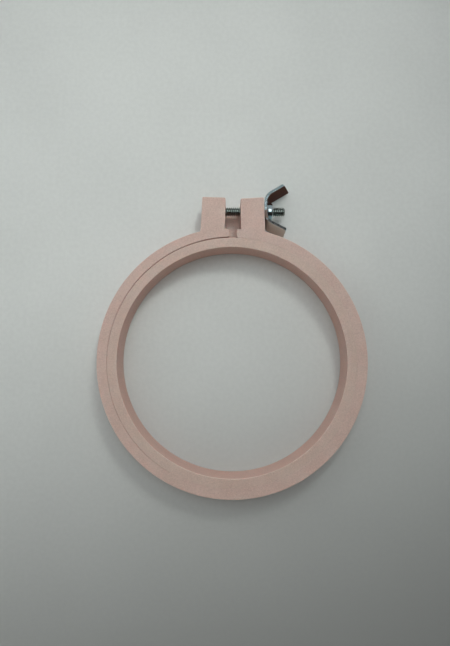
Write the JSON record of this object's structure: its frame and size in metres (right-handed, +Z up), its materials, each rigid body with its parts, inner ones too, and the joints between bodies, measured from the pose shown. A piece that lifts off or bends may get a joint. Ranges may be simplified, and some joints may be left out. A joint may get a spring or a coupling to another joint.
{
  "type": "embroidery hoop",
  "caption": "Round two-ring embroidery hoop: a split outer hoop clamped on a plain inner hoop by a bolt through its lugs and a pressed wing nut.",
  "frame": {"origin": "on the table, under the middle of the whole object's box; the two hoops' common axis stands at X 0, Y -12.510 mm", "axes": "+Z up out of the table along the hoops' axis, +Y from the hoops' middle towards the lugs, +X towards the wing nut"},
  "size_m": [0.1376, 0.1626, 0.016],
  "materials": {
    "outer_plastic": "fine matte moulded, peach pink",
    "inner_plastic": "fine matte moulded, peach pink",
    "bolt_steel": "zinc-plated, cut thread",
    "nut_steel": "bright zinc-plated pressed sheet"
  },
  "bodies": {
    "outer_hoop": {"outer_hoop_right": "outer_plastic"},
    "outer_hoop_left_side": {"outer_hoop_left": "outer_plastic"},
    "inner_hoop": {"inner_hoop": "inner_plastic"},
    "bolt": {"clamp_bolt": "bolt_steel"},
    "wing_nut": {"wing_nut": "nut_steel"}
  },
  "joints": [
    {"name": "nut_spin", "type": "hinge", "parent": "outer_hoop", "child": "wing_nut", "pos_m": [0.01667, 0.06709, 0.008], "axis": [1, 0, 0], "range_deg": [0, 1440]},
    {"name": "bolt_slide", "type": "slide", "parent": "outer_hoop", "child": "bolt", "axis": [-1, 0, 0], "range_m": [0, 0.00424]},
    {"name": "hoop_open", "type": "hinge", "parent": "outer_hoop", "child": "outer_hoop_left_side", "pos_m": [0, -0.08131, 0.008], "axis": [0, 0, 1], "range_deg": [0, 1.64]},
    {"name": "inner_hoop_lift", "type": "slide", "parent": "outer_hoop", "child": "inner_hoop", "axis": [0, 0, 1], "range_m": [0, 0.02]}
  ],
  "couplings": [
    {"joint": "bolt_slide", "follows": "nut_spin", "m_per_rad": 0.00016844},
    {"joint": "hoop_open", "follows": "nut_spin", "ratio": 0.001135}
  ]
}
